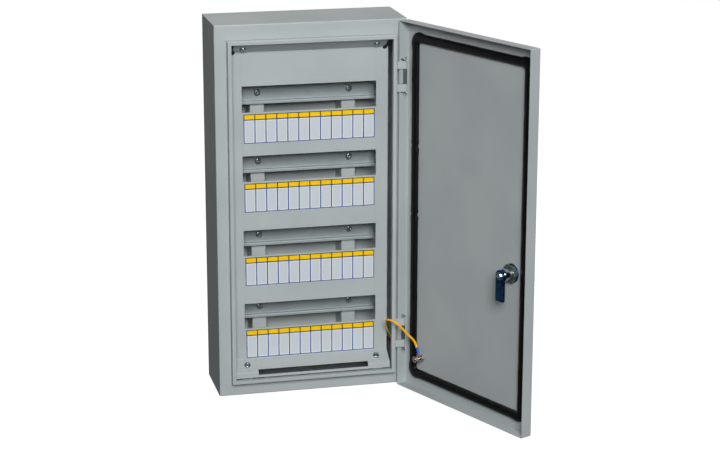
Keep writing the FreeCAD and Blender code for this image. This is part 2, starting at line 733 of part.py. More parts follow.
def make_straps(middle):
    """Cabinet straps: foot on the rim's side, arm and curl round the pin."""
    pieces = []
    front = HINGE_Y - KNUCKLE_RADIUS
    inner = RIM_HALF + STRAP_SHEET
    for low in strap_bands(middle):
        curl = rod((HINGE_X, HINGE_Y, low), (0, 0, 1), KNUCKLE_RADIUS, STRAP_HEIGHT)
        arm = box((RIM_HALF, front, low), (HINGE_X, front + STRAP_SHEET, low + STRAP_HEIGHT))
        foot = box((RIM_HALF, front, low), (inner, FRONT, low + STRAP_HEIGHT))
        foot = round_edges(
            foot.fuse(arm).removeSplitter(),
            STRAP_BEND,
            lambda mid, edge: lies_along(edge, 2) and abs(mid.x - inner) < 1e-6 and mid.y < FRONT - 5,
        )
        bore = rod((HINGE_X, HINGE_Y, low - 1), (0, 0, 1), PIN_RADIUS + FIT, STRAP_HEIGHT + 2)
        pieces.append(fuse([curl, foot]).cut(bore))
    return group(pieces)


def make_leaf(middle):
    """Door leaf between the straps, spot-welded inside the door's side flange."""
    low = middle - LEAF_HEIGHT / 2
    flange = DOOR_HALF - SHEET
    curl = rod((HINGE_X, HINGE_Y, low), (0, 0, 1), KNUCKLE_RADIUS, LEAF_HEIGHT)
    edge = HINGE_Y + HINGE_FROM_EDGE - LEAF_MARGIN
    plate = box((flange - STRAP_SHEET, HINGE_Y, low), (flange, edge, low + LEAF_HEIGHT))
    bore = rod((HINGE_X, HINGE_Y, low - 1), (0, 0, 1), PIN_RADIUS + FIT, LEAF_HEIGHT + 2)
    return fuse([curl, plate]).cut(bore)


def make_pin(middle, up):
    """Split pin: eye at one end and two legs bent apart at the other."""
    half = STRAP_GAP / 2 + STRAP_HEIGHT
    centre = Vector(HINGE_X, HINGE_Y, middle)
    shank = Part.makeCylinder(PIN_RADIUS, 2 * (half + PIN_PROUD), centre - Vector(0, 0, half + PIN_PROUD))
    eye_drop = half + PIN_EYE_RADIUS + PIN_WIRE_RADIUS
    eye_middle = centre - Vector(0, 0, up * eye_drop)
    eye = Part.makeTorus(PIN_EYE_RADIUS, PIN_WIRE_RADIUS, eye_middle, Vector(0.5, 0.87, 0))
    collar = Part.makeCylinder(PIN_RADIUS + 0.5, 0.8, centre - Vector(0, 0, up * half), Vector(0, 0, -up))
    tip = centre + Vector(0, 0, up * (half + PIN_PROUD / 2))
    aside = Vector(PIN_RADIUS * 0.4, 0, 0)
    leaning, straight = Vector(-0.78, -0.3, 0.55), Vector(0.1, -0.12, 1)
    if up < 0:
        aside = -aside
        leaning, straight = Vector(0.1, -0.62, -0.78), Vector(-0.3, -0.1, -0.95)
    long_leg = Part.makeCylinder(PIN_WIRE_RADIUS, PIN_LONG_LEG, tip - aside, leaning)
    short_leg = Part.makeCylinder(PIN_WIRE_RADIUS, PIN_SHORT_LEG, tip + aside, straight)
    return fuse([shank, eye, collar, long_leg, short_leg])


# ---------------------------------------------------------------- door
def opened(shape):
    """Turn a door part from shut to the pose it is stored in."""
    turned = shape.copy()
    turned.rotate(Vector(HINGE_X, HINGE_Y, 0), Vector(0, 0, 1), DOOR_REST)
    return turned


def make_door_shell():
    """Door tray with the holes for the lock."""
    back = FRONT - DOOR_GAP
    tray = folded_box(
        (-DOOR_HALF, DOOR_FRONT, -DOOR_HALF_HEIGHT), (DOOR_HALF, back, DOOR_HALF_HEIGHT), EDGE_RADIUS
    )
    hollow = box(
        (-DOOR_HALF + SHEET, DOOR_INSIDE, -DOOR_HALF_HEIGHT + SHEET),
        (DOOR_HALF - SHEET, back, DOOR_HALF_HEIGHT - SHEET),
    )
    hole = rod((LOCK_X, DOOR_FRONT - 1, LOCK_Z), (0, 1, 0), LOCK_BODY_RADIUS + HOLE_CLEARANCE, SHEET + 2)
    return tray.cut(hollow).cut(hole)


def make_gasket():
    """Foamed sealing band opposite the rim."""
    middle = RIM_FACE / 2
    half = GASKET_WIDTH / 2
    low = DOOR_INSIDE
    top = DOOR_INSIDE + GASKET_HEIGHT

    def ring_box(inset, corner):
        block = box(
            (-RIM_HALF + inset, low, RIM_LOW + inset), (RIM_HALF - inset, top, RIM_HIGH - inset)
        )
        return round_edges(block, corner, lambda mid, edge: lies_along(edge, 1))

    band = ring_box(middle - half, GASKET_CORNER).cut(ring_box(middle + half, GASKET_CORNER / 3))
    return round_edges(band, GASKET_RADIUS, lambda mid, edge: abs(mid.y - top) < 1e-6)


# ---------------------------------------------------------------- lock
def make_lock_housing():
    """Lock body with its front flange; it passes through the door."""
    centre = (LOCK_X, DOOR_FRONT, LOCK_Z)
    flange = rod(centre, (0, -1, 0), LOCK_FLANGE_RADIUS, LOCK_FLANGE_HEIGHT)
    half_way = DOOR_FRONT - LOCK_FLANGE_HEIGHT / 2
    flange = round_edges(flange, LOCK_FLANGE_HEIGHT / 3, lambda mid, edge: is_ring(edge) and mid.y < half_way)
    body = rod(centre, (0, 1, 0), LOCK_BODY_RADIUS, LOCK_BODY_LENGTH)
    start = (LOCK_X, DOOR_FRONT - LOCK_FLANGE_HEIGHT - 1, LOCK_Z)
    bore = rod(start, (0, 1, 0), LOCK_CORE_RADIUS + FIT, LOCK_BODY_LENGTH + LOCK_FLANGE_HEIGHT + 2)
    return fuse([flange, body]).cut(bore)


def make_lock_core():
    """Turning core with a key slot in front and a square end for the cam."""
    front = DOOR_FRONT - LOCK_FLANGE_HEIGHT + CORE_SUNK
    core = rod((LOCK_X, front, LOCK_Z), (0, 1, 0), LOCK_CORE_RADIUS, CAM_FACE - front)
    half = SQUARE_SIDE / 2
    square = box(
        (LOCK_X - half, CAM_FACE, LOCK_Z - half), (LOCK_X + half, CAM_FACE + CAM_SHEET - FIT, LOCK_Z + half)
    )
    slot = box(
        (LOCK_X - KEY_SLOT_WIDTH / 2, front - 1, LOCK_Z - KEY_SLOT_HEIGHT / 2),
        (LOCK_X + KEY_SLOT_WIDTH / 2, front + KEY_SLOT_HEIGHT, LOCK_Z + KEY_SLOT_HEIGHT / 2),
    )
    start = (LOCK_X, CAM_FACE - CAM_SCREW_LENGTH, LOCK_Z)
    thread = rod(start, (0, 1, 0), CAM_SCREW_RADIUS + FIT, CAM_SCREW_LENGTH + CAM_SHEET)
    return fuse([core, square]).cut(slot).cut(thread)


def make_lock_cam():
    """Flat cam; it hangs down when unlocked and turns behind the front sheet to lock."""
    half = CAM_WIDTH / 2
    back = CAM_FACE + CAM_SHEET
    head = rod((LOCK_X, CAM_FACE, LOCK_Z), (0, 1, 0), half, CAM_SHEET)
    blade = box((LOCK_X - half, CAM_FACE, LOCK_Z - CAM_LENGTH), (LOCK_X + half, back, LOCK_Z))
    blade = round_edges(
        blade, CAM_CORNER, lambda mid, edge: lies_along(edge, 1) and mid.z < LOCK_Z - CAM_LENGTH / 2
    )
    side = SQUARE_SIDE / 2 + FIT
    hole = box((LOCK_X - side, CAM_FACE - 1, LOCK_Z - side), (LOCK_X + side, back + 1, LOCK_Z + side))
    cam = fuse([head, blade]).cut(hole)
    return round_edges(
        cam, CAM_EDGE, lambda mid, edge: abs(mid.y - back) < 1e-6 and abs(mid.x - LOCK_X) > side + FIT
    )


def make_cam_screw():
    """Hexagon-head screw and washer that hold the cam on the square."""
    face = CAM_FACE + CAM_SHEET
    centre = (LOCK_X, face, LOCK_Z)
    under_head = (LOCK_X, face + CAM_SCREW_DISC_HEIGHT, LOCK_Z)
    height = CAM_SCREW_HEAD - CAM_SCREW_DISC_HEIGHT
    bore = CAM_SCREW_FLATS * 0.15
    disc = rod(centre, (0, 1, 0), CAM_SCREW_DISC_RADIUS, CAM_SCREW_DISC_HEIGHT)
    head = hex_nut(under_head, (0, 1, 0), CAM_SCREW_FLATS, height, bore)
    plug = rod(under_head, (0, 1, 0), bore + 0.1, height - 1.0)
    shank = rod(centre, (0, -1, 0), CAM_SCREW_RADIUS, CAM_SCREW_LENGTH)
    return fuse([disc, head, plug, shank])


def make_lock_washer():
    """Thin washer under the lock nut."""
    start = (LOCK_X, DOOR_INSIDE, LOCK_Z)
    return washer(start, (0, 1, 0), LOCK_WASHER_RADIUS, LOCK_BODY_RADIUS + FIT, LOCK_WASHER_HEIGHT)


def make_lock_nut():
    """Hexagon nut that clamps the lock to the door."""
    start = (LOCK_X, DOOR_INSIDE + LOCK_WASHER_HEIGHT, LOCK_Z)
    return hex_nut(start, (0, 1, 0), NUT_FLATS, NUT_HEIGHT, LOCK_BODY_RADIUS + FIT)


# ---------------------------------------------------------------- earth bond
def stud_stack():
    """Distances along a stud of the lower nut, the lug and the upper nut."""
    lower_nut = STUD_FOOT_HEIGHT + STUD_FOOT_GAP
    lug = lower_nut + STUD_NUT_HEIGHT + STUD_WASHER_HEIGHT
    upper_nut = STUD_LENGTH - STUD_NUT_FROM_TIP - STUD_NUT_HEIGHT
    return lower_nut, lug, upper_nut


def make_stud(start, direction):
    """Copper-plated weld stud with its foot."""
    foot = rod(start, direction, STUD_FOOT_RADIUS, STUD_FOOT_HEIGHT)
    shank = rod(start, direction, STUD_RADIUS, STUD_LENGTH)
    rings = [edge for edge in shank.Edges if is_ring(edge)]
    tip = max(rings, key=lambda edge: edge.CenterOfMass.distanceToPoint(Vector(*start)))
    shank = shank.makeChamfer(STUD_CHAMFER, [tip])
    return fuse([foot, shank])


def make_stud_nuts(start, direction):
    """Lower nut, the two washers on both sides of the cable lug, and a nut at the stud's tip."""
    lower_nut, lug, upper_nut = stud_stack()
    hole = STUD_RADIUS + FIT
    pieces = []
    for distance in (lower_nut, upper_nut):
        place = along(start, direction, distance)
        pieces.append(hex_nut(place, direction, STUD_NUT_FLATS, STUD_NUT_HEIGHT, hole))
    for distance in (lug - STUD_WASHER_HEIGHT, lug + LUG_SHEET):
        place = along(start, direction, distance)
        pieces.append(washer(place, direction, STUD_WASHER_RADIUS, hole, STUD_WASHER_HEIGHT))
    return group(pieces)


def on_lug(shape, start, direction, neck):
    """Place a shape drawn with the stud along +Z and the neck along +X."""
    lug = stud_stack()[1]
    turned = shape.copy()
    turn = FreeCAD.Rotation(Vector(*neck), Vector(0, 0, 0), Vector(*direction), "ZXY")
    turned.Placement = FreeCAD.Placement(Vector(*along(start, direction, lug)), turn)
    return turned


def make_lug(start, direction, neck):
    """Ring lug whose flat neck runs into its sleeve."""
    ring = Part.makeCylinder(LUG_RADIUS, LUG_SHEET)
    tongue = box((0, -LUG_RADIUS * 0.45, 0), (LUG_NECK, LUG_RADIUS * 0.45, LUG_SHEET))
    lug = fuse([ring, tongue]).cut(Part.makeCylinder(STUD_RADIUS + FIT, LUG_SHEET))
    return on_lug(lug, start, direction, neck)


def make_sleeve(start, direction, neck):
    """Insulating sleeve between the lug's neck and the wire."""
    near_end = Vector(LUG_NECK, 0, LUG_SHEET / 2)
    sleeve = Part.makeCylinder(SLEEVE_RADIUS, SLEEVE_LENGTH, near_end, Vector(1, 0, 0))
    return on_lug(sleeve, start, direction, neck)


def sleeve_end(start, direction, neck):
    """Middle of the sleeve's outer end, where the wire starts."""
    middle = along(start, direction, stud_stack()[1] + LUG_SHEET / 2)
    return along(middle, neck, LUG_NECK + SLEEVE_LENGTH)


def turn_open(point, moves=True):
    """Point (or, with moves False, a direction) of the shut door after the door is opened."""
    pivot = (HINGE_X, HINGE_Y) if moves else (0.0, 0.0)
    angle = math.radians(DOOR_REST)
    x, y = point[0] - pivot[0], point[1] - pivot[1]
    turned_x = x * math.cos(angle) - y * math.sin(angle)
    turned_y = x * math.sin(angle) + y * math.cos(angle)
    return (pivot[0] + turned_x, pivot[1] + turned_y, point[2])


SHELL_STUD = ((SHELL_STUD_X, SHELL_STUD_DEPTH, SHELL_STUD_Z), (-1, 0, 0))
DOOR_STUD = ((DOOR_STUD_X, DOOR_INSIDE, DOOR_STUD_Z), (0, 1, 0))


def wire_points():
    """Route of the earth wire, from the shell's lug to the door's lug."""
    shell_neck = unit(SHELL_NECK)
    door_neck = unit(DOOR_NECK)
    start = sleeve_end(*SHELL_STUD, shell_neck)
    end = turn_open(sleeve_end(*DOOR_STUD, door_neck))
    middle = [(HINGE_X + x, HINGE_Y + y, DOOR_STUD_Z + z) for x, y, z in WIRE_ROUTE]
    return [
        start,
        along(start, shell_neck, NECK_RUN),
        *middle,
        along(end, turn_open(door_neck, moves=False), NECK_RUN),
        end,
    ]


def make_wire():
    """Round wire along straight runs joined by tangent arcs."""
    points = [Vector(*point) for point in wire_points()]
    edges = []
    last = points[0]
    for before, corner, after in zip(points, points[1:], points[2:]):
        inward, outward = corner - before, after - corner
        reach = 0.45 * min(inward.Length, outward.Length)
        half_turn = inward.getAngle(outward) / 2
        radius = reach / math.tan(half_turn)
        start = corner - inward.normalize() * reach
        end = corner + outward.normalize() * reach
        centre_way = (start + end) * 0.5 - corner
        depth = radius / math.cos(half_turn) - radius
        edges.append(Part.LineSegment(last, start).toShape())
        edges.append(Part.Arc(start, corner + centre_way.normalize() * depth, end).toShape())
        last = end
        print("wire bend radius", round(radius, 1), "turn", round(math.degrees(2 * half_turn), 1))
    edges.append(Part.LineSegment(last, points[-1]).toShape())
    path = Part.Wire(edges)
    ring = Part.Wire(Part.makeCircle(WIRE_DIAMETER / 2, points[0], points[1] - points[0]))
    tube = path.makePipeShell([ring], True, False)
    print("wire length", round(path.Length, 1), "volume share",
          round(tube.Volume / (path.Length * math.pi * WIRE_DIAMETER ** 2 / 4), 4))
    return tube


# ---------------------------------------------------------------- all nodes
def shell_nodes():
    """Pieces that stay on the wall."""
    top = HEIGHT / 2
    nodes = {
        "back_and_sides": make_back_and_sides(),
        "top_panel": make_end_panel(top, top - SHEET),
        "bottom_panel": make_bottom_panel(),
        "front_frame": make_front_frame(),
        "cable_grommets": make_grommets(),
        "rail_support_left": make_support(-1),
        "rail_support_right": make_support(1),
        "rail_screws": make_rail_screws(),
        "inner_cover": make_inner_cover(),
        "cover_screws": make_cover_screws(),
        "cover_brackets": make_cover_brackets(),
        "shell_earth_stud": make_stud(*SHELL_STUD),
        "shell_earth_nuts": make_stud_nuts(*SHELL_STUD),
        "shell_earth_lug": make_lug(*SHELL_STUD, unit(SHELL_NECK)),
        "shell_lug_sleeve": make_sleeve(*SHELL_STUD, unit(SHELL_NECK)),
        "earth_wire": make_wire(),
    }
    for number, row in enumerate(ROWS, start=1):
        nodes["din_rail_" + str(number)] = make_rail(row)
        nodes["label_strip_" + str(number)] = make_label(row)
    for name, height in BARS.items():
        nodes[name + "_bar"] = make_bar(height)
        nodes[name + "_bar_screws"] = make_bar_screws(height)
        nodes[name + "_bar_feet"] = make_bar_feet(height)
    for name, middle in HINGE_HEIGHTS.items():
        nodes["hinge_straps_" + name] = make_straps(middle)
        nodes["hinge_pin_" + name] = make_pin(middle, 1 if name == "upper" else -1)
    return nodes


def door_nodes():
    """Pieces that swing with the door, drawn shut."""
    nodes = {
        "door_shell": make_door_shell(),
        "door_gasket": make_gasket(),
        "lock_housing": make_lock_housing(),
        "lock_washer": make_lock_washer(),
        "lock_nut": make_lock_nut(),
        "lock_core": make_lock_core(),
        "lock_cam": make_lock_cam(),
        "cam_screw": make_cam_screw(),
        "door_earth_stud": make_stud(*DOOR_STUD),
        "door_earth_nuts": make_stud_nuts(*DOOR_STUD),
        "door_earth_lug": make_lug(*DOOR_STUD, unit(DOOR_NECK)),
        "door_lug_sleeve": make_sleeve(*DOOR_STUD, unit(DOOR_NECK)),
    }
    for name, middle in HINGE_HEIGHTS.items():
        nodes["hinge_leaf_" + name] = make_leaf(middle)
    return nodes


def main():
    """Write one STEP file for each node."""
    os.makedirs("parts", exist_ok=True)
    nodes = shell_nodes()
    for name, shape in door_nodes().items():
        nodes[name] = opened(shape)
    for name, shape in nodes.items():
        shape.exportStep("parts/" + name + ".step")


main()
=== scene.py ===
"""Looks of a four-row distribution box with its door open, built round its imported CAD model.

Frame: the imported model's own, in metres. X runs to the right and Z runs up from the middle of the
back, Y = 0 lies on the wall, and the front faces -Y. The box's own sizes are in millimetres and are
scaled by MM. The camera, the floor, the lights and the depths of the materials' relief are in metres.
"""
import json
import math

import bpy
from mathutils import Matrix, Vector, noise


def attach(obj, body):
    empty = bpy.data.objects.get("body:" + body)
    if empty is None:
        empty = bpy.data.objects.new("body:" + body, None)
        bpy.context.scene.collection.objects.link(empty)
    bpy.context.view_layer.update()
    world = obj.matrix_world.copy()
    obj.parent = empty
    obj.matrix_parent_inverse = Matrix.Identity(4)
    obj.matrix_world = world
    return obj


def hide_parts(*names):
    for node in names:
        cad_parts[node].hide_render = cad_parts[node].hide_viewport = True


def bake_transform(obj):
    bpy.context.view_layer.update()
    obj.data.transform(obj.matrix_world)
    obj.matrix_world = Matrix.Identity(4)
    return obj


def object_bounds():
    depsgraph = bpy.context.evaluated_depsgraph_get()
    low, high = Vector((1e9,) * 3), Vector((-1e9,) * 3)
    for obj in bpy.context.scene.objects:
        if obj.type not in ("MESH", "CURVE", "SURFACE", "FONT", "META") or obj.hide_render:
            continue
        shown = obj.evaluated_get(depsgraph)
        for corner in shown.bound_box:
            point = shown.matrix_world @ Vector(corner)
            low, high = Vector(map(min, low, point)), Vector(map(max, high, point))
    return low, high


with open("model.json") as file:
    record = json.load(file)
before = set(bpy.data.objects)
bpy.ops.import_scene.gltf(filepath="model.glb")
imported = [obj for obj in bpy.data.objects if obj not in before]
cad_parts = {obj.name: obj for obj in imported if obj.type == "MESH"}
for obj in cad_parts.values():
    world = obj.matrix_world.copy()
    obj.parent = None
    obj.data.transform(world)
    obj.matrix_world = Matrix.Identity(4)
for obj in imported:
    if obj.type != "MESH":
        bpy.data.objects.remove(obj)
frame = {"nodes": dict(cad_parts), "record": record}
CAD_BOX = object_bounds()

MM = 0.001

# ---------------------------------------------------------------- sizes shared with the CAD
DOOR_REST = 114.0                       # degrees open at rest
HINGE = (152.0, -126.0)                 # X and Y of the hinge line
DOOR_INSIDE = -135.8                    # inner face of the shut door
GASKET_HALF = 135.0                     # middle of the band, from the middle of the box
GASKET_LOW = -284.0                     # middle of the band's lower side
GASKET_HIGH = 282.5                     # middle of the band's upper side
GASKET_CORNER = 12.0                    # radius of the middle of the band
GASKET_WIDTH = 14.4
GASKET_HEIGHT = 6.5
ROWS = [185.0, 70.0, -55.0, -180.0]     # heights of the rows' middles, from the top row down
LABEL_TOP = -24.5                       # top of a label strip from its row's middle
LABEL_HEIGHT = 48.0
LABEL_HALF = 108.0                      # half of a label strip's printed width
MODULE_PITCH = 18.0
WIRE_DIAMETER = 3.8
STUD_RADIUS = 3.0
STUD_LENGTH = 20.0
STUD_FOOT = (4.0, 1.2)                  # radius and height
DOOR_STUD = (110.0, -135.8, -253.0)     # foot of the stud, on the shut door
SHELL_STUD = (156.3, -63.0, -250.0)
LUG_ALONG_STUD = 7.8                    # middle of the lug from the stud's foot
LUG_NECK = 9.0                          # start of the sleeve from the stud's middle
SLEEVE_LENGTH = 10.0
DOOR_NECK = (0.44, 0.0, 0.90)           # direction from the stud to the wire, on the shut door
SHELL_NECK = (0.0, -0.95, 0.31)
WIRE_POINTS = [                         # the wire's route with the door at rest, shell end first
    (148.5, -81.1, -244.1),
    (148.5, -91.5, -240.7),
    (139.5, -102.0, -233.0),
    (129.5, -113.0, -217.0),
    (122.5, -123.0, -199.5),
    (121.0, -134.0, -190.5),
    (125.0, -145.0, -188.5),
    (134.0, -151.5, -192.5),
    (143.5, -153.5, -202.5),
    (152.5, -153.0, -213.5),
    (165.6, -151.5, -226.0),
    (167.5, -155.9, -235.9),
]


# ---------------------------------------------------------------- places
def metres(point):
    """A point in millimetres as a vector in metres."""
    return Vector(point) * MM


def door_turn():
    """Matrix that turns a piece drawn on the shut door to where the door rests."""
    pivot = metres((HINGE[0], HINGE[1], 0.0))
    turn = Matrix.Rotation(math.radians(DOOR_REST), 4, "Z")
    return Matrix.Translation(pivot) @ turn @ Matrix.Translation(-pivot)


# ---------------------------------------------------------------- camera
CAMERA_PLACE = (-0.6808, -3.2833, 0.8823)
CAMERA_YAW = 0.23567                    # radians from +Y towards +X
CAMERA_PITCH = -0.27310
CAMERA_ROLL = 0.00177
CAMERA_LENS = 102.96                    # millimetres, for the sensor below
SENSOR_WIDTH = 36.0
NEAREST_SEEN = 0.1                      # metres
FARTHEST_SEEN = 60.0


def make_camera():
    """Camera in front of the box, a little to its left and above it."""
    level = math.cos(CAMERA_PITCH)
    away = (math.sin(CAMERA_YAW) * level, math.cos(CAMERA_YAW) * level)
    forward = Vector((*away, math.sin(CAMERA_PITCH)))
    right = Vector((math.cos(CAMERA_YAW), -math.sin(CAMERA_YAW), 0.0))
    turn = Matrix.Rotation(-CAMERA_ROLL, 3, forward)
    right = turn @ right
    axes = Matrix((right, right.cross(forward), -forward)).transposed()
    data = bpy.data.cameras.new("camera")
    data.sensor_width = SENSOR_WIDTH
    data.lens = CAMERA_LENS
    data.clip_start = NEAREST_SEEN
    data.clip_end = FARTHEST_SEEN
    camera = bpy.data.objects.new("camera", data)
    camera.matrix_world = Matrix.Translation(CAMERA_PLACE) @ axes.to_4x4()
    bpy.context.scene.collection.objects.link(camera)
    bpy.context.scene.camera = camera


# ---------------------------------------------------------------- mesh helpers
SPLINE_ORDER = 3
SPLINE_STEPS = 12                       # points read for each control point


def add_mesh(name, vertices, faces, uvs=None, sharp=40.0):
    """Object of a smooth-shaded mesh whose edges over the sharp angle stay hard."""
    mesh = bpy.data.meshes.new(name)
    mesh.from_pydata([tuple(v) for v in vertices], [], faces)
    mesh.polygons.foreach_set("use_smooth", [True] * len(mesh.polygons))
    if uvs:
        layer = mesh.uv_layers.new(name="sweep")
        for loop in mesh.loops:
            layer.data[loop.index].uv = uvs[loop.vertex_index]
    mesh.update()
    mesh.set_sharp_from_angle(angle=math.radians(sharp))
    made = bpy.data.objects.new(name, mesh)
    bpy.context.scene.collection.objects.link(made)
    return made


def path_frames(points, closed, up):
    """Distance, place, side and lift at each point of a path, carried along without twist."""
    count = len(points)
    rows = []
    distance = 0.0
    side = None
    for k, place in enumerate(points):
        before = points[(k - 1) % count] if closed or k else place
        after = points[(k + 1) % count] if closed or k < count - 1 else place
        ahead = (after - before).normalized()
        if side is None:
            side = up.cross(ahead)
        side = (side - ahead * side.dot(ahead)).normalized()
        if k:
            distance += (place - points[k - 1]).length
        rows.append((distance, place, side, ahead.cross(side)))
    return rows


def skin_faces(rings, sides, closed):
    """Faces between rings of points; an open skin gets a flat cap at each end."""
    faces = []
    for ring in range(rings if closed else rings - 1):
        near = ring * sides
        far = (ring + 1) % rings * sides
        for step in range(sides):
            after = (step + 1) % sides
            faces.append((near + step, near + after, far + after, far + step))
    if not closed:
        faces.append(tuple(reversed(range(sides))))
        faces.append(tuple(range((rings - 1) * sides, rings * sides)))
    return faces


def sweep(name, points, section, sides=16, closed=False, up=(0, 0, 1), sharp=40.0):
    """Skin of a section carried along a path; section(distance, angle) gives side and lift offsets."""
    rows = path_frames(points, closed, Vector(up))
    vertices = []
    uvs = []
    for distance, place, side, lift in rows:
        for step in range(sides):
            angle = 2 * math.pi * step / sides
            across, rise = section(distance, angle)
            vertices.append(place + side * across + lift * rise)
            uvs.append((step / sides, distance))
    return add_mesh(name, vertices, skin_faces(len(rows), sides, closed), uvs, sharp)


def round_section(radius):
    """Section of a plain round rod."""
    return lambda distance, angle: (radius * math.cos(angle), radius * math.sin(angle))


def smooth_line(points):
    """Points read from a NURBS spline that has the given points as its control points."""
    data = bpy.data.curves.new("line", "CURVE")
    data.dimensions = "3D"
    data.resolution_u = SPLINE_STEPS
    spline = data.splines.new("NURBS")
    spline.points.add(len(points) - 1)
    for target, point in zip(spline.points, points):
        target.co = (*point, 1.0)
    spline.order_u = SPLINE_ORDER
    spline.use_endpoint_u = True
    made = bpy.data.objects.new("line", data)
    mesh = bpy.data.meshes.new_from_object(made)
    line = [vertex.co.copy() for vertex in mesh.vertices]
    bpy.data.objects.remove(made)
    bpy.data.meshes.remove(mesh)
    return line


def place_piece(piece, body, looks, slot, node, matrix):
    """Move a made piece into place on its body, with the look of its slot, to stand for a CAD node."""
    piece.data.transform(matrix)
    piece.data.materials.append(looks[slot])
    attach(piece, body)
    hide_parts(node)


# ---------------------------------------------------------------- material helpers
MIX_SHARE, MIX_FIRST, MIX_SECOND = 0, 6, 7      # inputs of a Mix node that mixes colours
MIX_RESULT = 2                                  # its colour output
BEVEL_SAMPLES = 4


def channel(value):
    """Scene-linear value of one 8-bit channel of an sRGB colour."""
    value /= 255.0
    return value / 12.92 if value <= 0.04045 else ((value + 0.055) / 1.055) ** 2.4


def linear(red, green, blue):
    """Scene-linear colour of an 8-bit sRGB colour."""
    return (channel(red), channel(green), channel(blue), 1.0)


class Look:
    """A material being made: its node tree, its shader and its object coordinates."""

    def __init__(self, name):
        self.material = bpy.data.materials.new(name)
        self.material.use_nodes = True
        self.tree = self.material.node_tree
        self.shader = self.tree.nodes["Principled BSDF"]
        self.place = self.tree.nodes.new("ShaderNodeTexCoord").outputs["Object"]

    def node(self, kind, inputs=None, **settings):
        """New node with its settings, its values and its links."""
        made = self.tree.nodes.new(kind)
        for key, value in settings.items():
            setattr(made, key, value)
        for key, value in (inputs or {}).items():
            self.put(made.inputs[key], value)
        return made

    def put(self, socket, value):
        """Link a socket into another, or set its value."""
        if isinstance(value, bpy.types.NodeSocket):
            self.tree.links.new(value, socket)
        else:
            socket.default_value = value

    def set(self, **values):
        """Values of the shader's sockets; underscores stand for spaces."""
        for key, value in values.items():
            self.put(self.shader.inputs[key.replace("_", " ")], value)

    def math(self, operation, *values):
        """Result of a math node."""
        made = self.node("ShaderNodeMath", operation=operation)
        for socket, value in zip(made.inputs, values):
            self.put(socket, value)
        return made.outputs[0]

    def noise(self, scale, detail=3.0, stretch=(1, 1, 1), roughness=0.5):
        """Noise from 0 to 1 at a number of cells per metre, stretched along the axes."""
        place = self.node("ShaderNodeMapping", {"Vector": self.place, "Scale": stretch}).outputs[0]
        inputs = {"Vector": place, "Scale": scale, "Detail": detail, "Roughness": roughness}
        return self.node("ShaderNodeTexNoise", inputs).outputs["Fac"]

    def between(self, share, low, high, start=0.0, end=1.0):
        """Number that goes from low to high as a share goes from start to end."""
        inputs = {"Value": share, "From Min": start, "From Max": end, "To Min": low, "To Max": high}
        return self.node("ShaderNodeMapRange", inputs).outputs[0]

    def mix(self, share, first, second):
        """Colour between two colours."""
        made = self.node("ShaderNodeMix", data_type="RGBA")
        self.put(made.inputs[MIX_SHARE], share)
        self.put(made.inputs[MIX_FIRST], first)
        self.put(made.inputs[MIX_SECOND], second)
        return made.outputs[MIX_RESULT]

    def relief(self, *layers, edge=None):
        """Bump from (height, depth in metres) layers over an optional rounding of the edges."""
        normal = None
        if edge:
            rounding = self.node("ShaderNodeBevel", {"Radius": edge}, samples=BEVEL_SAMPLES)
            normal = rounding.outputs[0]
        for height, depth in layers:
            made = self.node("ShaderNodeBump", {"Height": height, "Distance": depth, "Strength": 1.0})
            if normal:
                self.put(made.inputs["Normal"], normal)
            normal = made.outputs[0]
        self.put(self.shader.inputs["Normal"], normal)


# ---------------------------------------------------------------- materials
KNUCKLE_DARK_REACH = (0.0032, 0.0036)           # metres from the hinge line: darker grey, then plain paint
KNUCKLE_DARK_WAVER = 0.0003


def knuckle_dark_share(look, speck):
    """Share of darker grey on a hinge leaf, within a few millimetres of the hinge line."""
    split = look.node("ShaderNodeSeparateXYZ", {"Vector": look.place})
    aside = look.math("SUBTRACT", split.outputs[0], HINGE[0] * MM)
    ahead = look.math("SUBTRACT", split.outputs[1], HINGE[1] * MM)
    squares = look.math("ADD", look.math("MULTIPLY", aside, aside), look.math("MULTIPLY", ahead, ahead))
    away = look.math("SQRT", squares)
    ragged = look.math("ADD", away, look.between(speck, -KNUCKLE_DARK_WAVER, KNUCKLE_DARK_WAVER))
    return look.between(ragged, 1.0, 0.0, *KNUCKLE_DARK_REACH)


def powder_coat(name, darker_knuckle=False):
    """Light grey polyester powder coat: fine orange peel and a faint mottle."""
    look = Look(name)
    mottle = look.noise(9.0, detail=4.0)
    speck = look.noise(1600.0, detail=1.0)
    cloud = look.between(mottle, 0.0, 1.0, 0.35, 0.65)
    tone = look.mix(cloud, linear(176, 181, 182), linear(184, 188, 188))
    tone = look.mix(look.between(speck, 0.0, 0.16, 0.5, 0.8), tone, linear(150, 156, 158))
    if darker_knuckle:
        # darker grey close to the hinge line, over the knuckle, with a ragged edge
        tone = look.mix(knuckle_dark_share(look, speck), tone, linear(84, 88, 90))
    look.set(Base_Color=tone, Roughness=look.between(mottle, 0.40, 0.50), IOR=1.5)
    peel = look.noise(420.0, detail=2.0)
    grain = look.noise(2200.0, detail=2.0)
    look.relief((peel, 0.00010), (grain, 0.00003), edge=0.0005)
    return look.material


def rail_steel():
    """Galvanised strip: matte grey with fine rolling lines."""
    look = Look("rail_steel")
    cloud = look.noise(60.0, detail=5.0, roughness=0.6)
    lines = look.noise(900.0, detail=2.0, stretch=(0.02, 1, 1))
    tone = look.mix(cloud, linear(164, 171, 173), linear(178, 184, 185))
    tone = look.mix(look.between(lines, 0.0, 0.25, 0.4, 0.7), tone, linear(150, 157, 160))
    look.set(Base_Color=tone, Metallic=0.3, Roughness=look.between(cloud, 0.42, 0.56, 0.3, 0.7))
    look.relief((lines, 0.00002), edge=0.0003)
    return look.material


